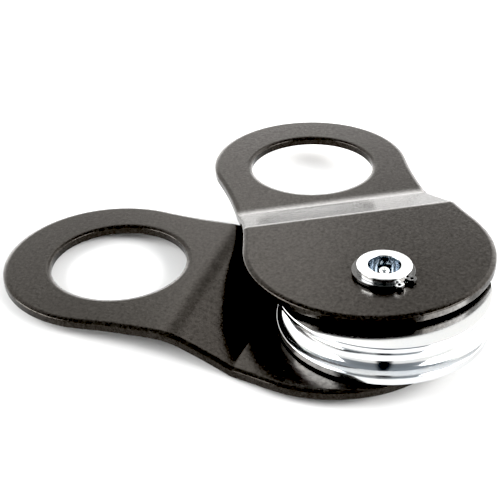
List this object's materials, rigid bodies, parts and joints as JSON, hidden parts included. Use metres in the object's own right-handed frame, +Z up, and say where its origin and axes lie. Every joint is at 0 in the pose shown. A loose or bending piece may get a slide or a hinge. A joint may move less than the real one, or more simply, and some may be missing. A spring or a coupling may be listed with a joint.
{
  "type": "single sheave block",
  "caption": "Snatch block: a grooved sheave on a greased pin between two joggled side plates that swing apart, each ending in a large round shackle eye.",
  "frame": {"origin": "centre of the pin's lower end face, on the axis that the sheave and both side plates turn about", "axes": "+Z runs up along the pin towards the grease nipple; -X points from the pin to the lower side plate's shackle eye"},
  "size_m": [0.285, 0.2756, 0.0478],
  "materials": {
    "black_coat": "semi-gloss black coating",
    "bright_zinc": "bright zinc plate",
    "bronze": "sintered bearing bronze",
    "black_spring_steel": "phosphated and oiled spring steel",
    "nipple_steel": "zinc plated turned steel",
    "ball_steel": "polished steel"
  },
  "bodies": {
    "lower_plate": {"lower_side_plate": "black_coat"},
    "upper_plate": {"upper_side_plate": "black_coat"},
    "pin": {"pin": "bright_zinc", "lower_retaining_ring": "black_spring_steel", "upper_retaining_ring": "black_spring_steel", "grease_nipple_body": "nipple_steel", "grease_nipple_spring": "ball_steel"},
    "sheave": {"sheave": "bright_zinc", "bushing": "bronze"},
    "lower_washer": {"lower_thrust_washer": "bronze"},
    "upper_washer": {"upper_thrust_washer": "bronze"},
    "check_ball": {"grease_nipple_ball": "ball_steel"}
  },
  "joints": [
    {"name": "side_plate_swing", "type": "hinge", "parent": "lower_plate", "child": "upper_plate", "pos_m": [0, 0, 0.02315], "axis": [0, 0, 1], "continuous": true},
    {"name": "pin_turn", "type": "hinge", "parent": "lower_plate", "child": "pin", "pos_m": [0, 0, 0.02315], "axis": [0, 0, 1], "continuous": true},
    {"name": "sheave_spin", "type": "hinge", "parent": "pin", "child": "sheave", "pos_m": [0, 0, 0.02315], "axis": [0, 0, 1], "continuous": true},
    {"name": "lower_washer_turn", "type": "hinge", "parent": "pin", "child": "lower_washer", "pos_m": [0, 0, 0.02315], "axis": [0, 0, 1], "continuous": true},
    {"name": "upper_washer_turn", "type": "hinge", "parent": "pin", "child": "upper_washer", "pos_m": [0, 0, 0.02315], "axis": [0, 0, 1], "continuous": true},
    {"name": "check_ball_lift", "type": "slide", "parent": "pin", "child": "check_ball", "axis": [0, 0, -1], "range_m": [0, 0.0008], "stiffness_N_per_m": 300, "springref_m": -0.001, "deforming": ["grease_nipple_spring"]}
  ]
}
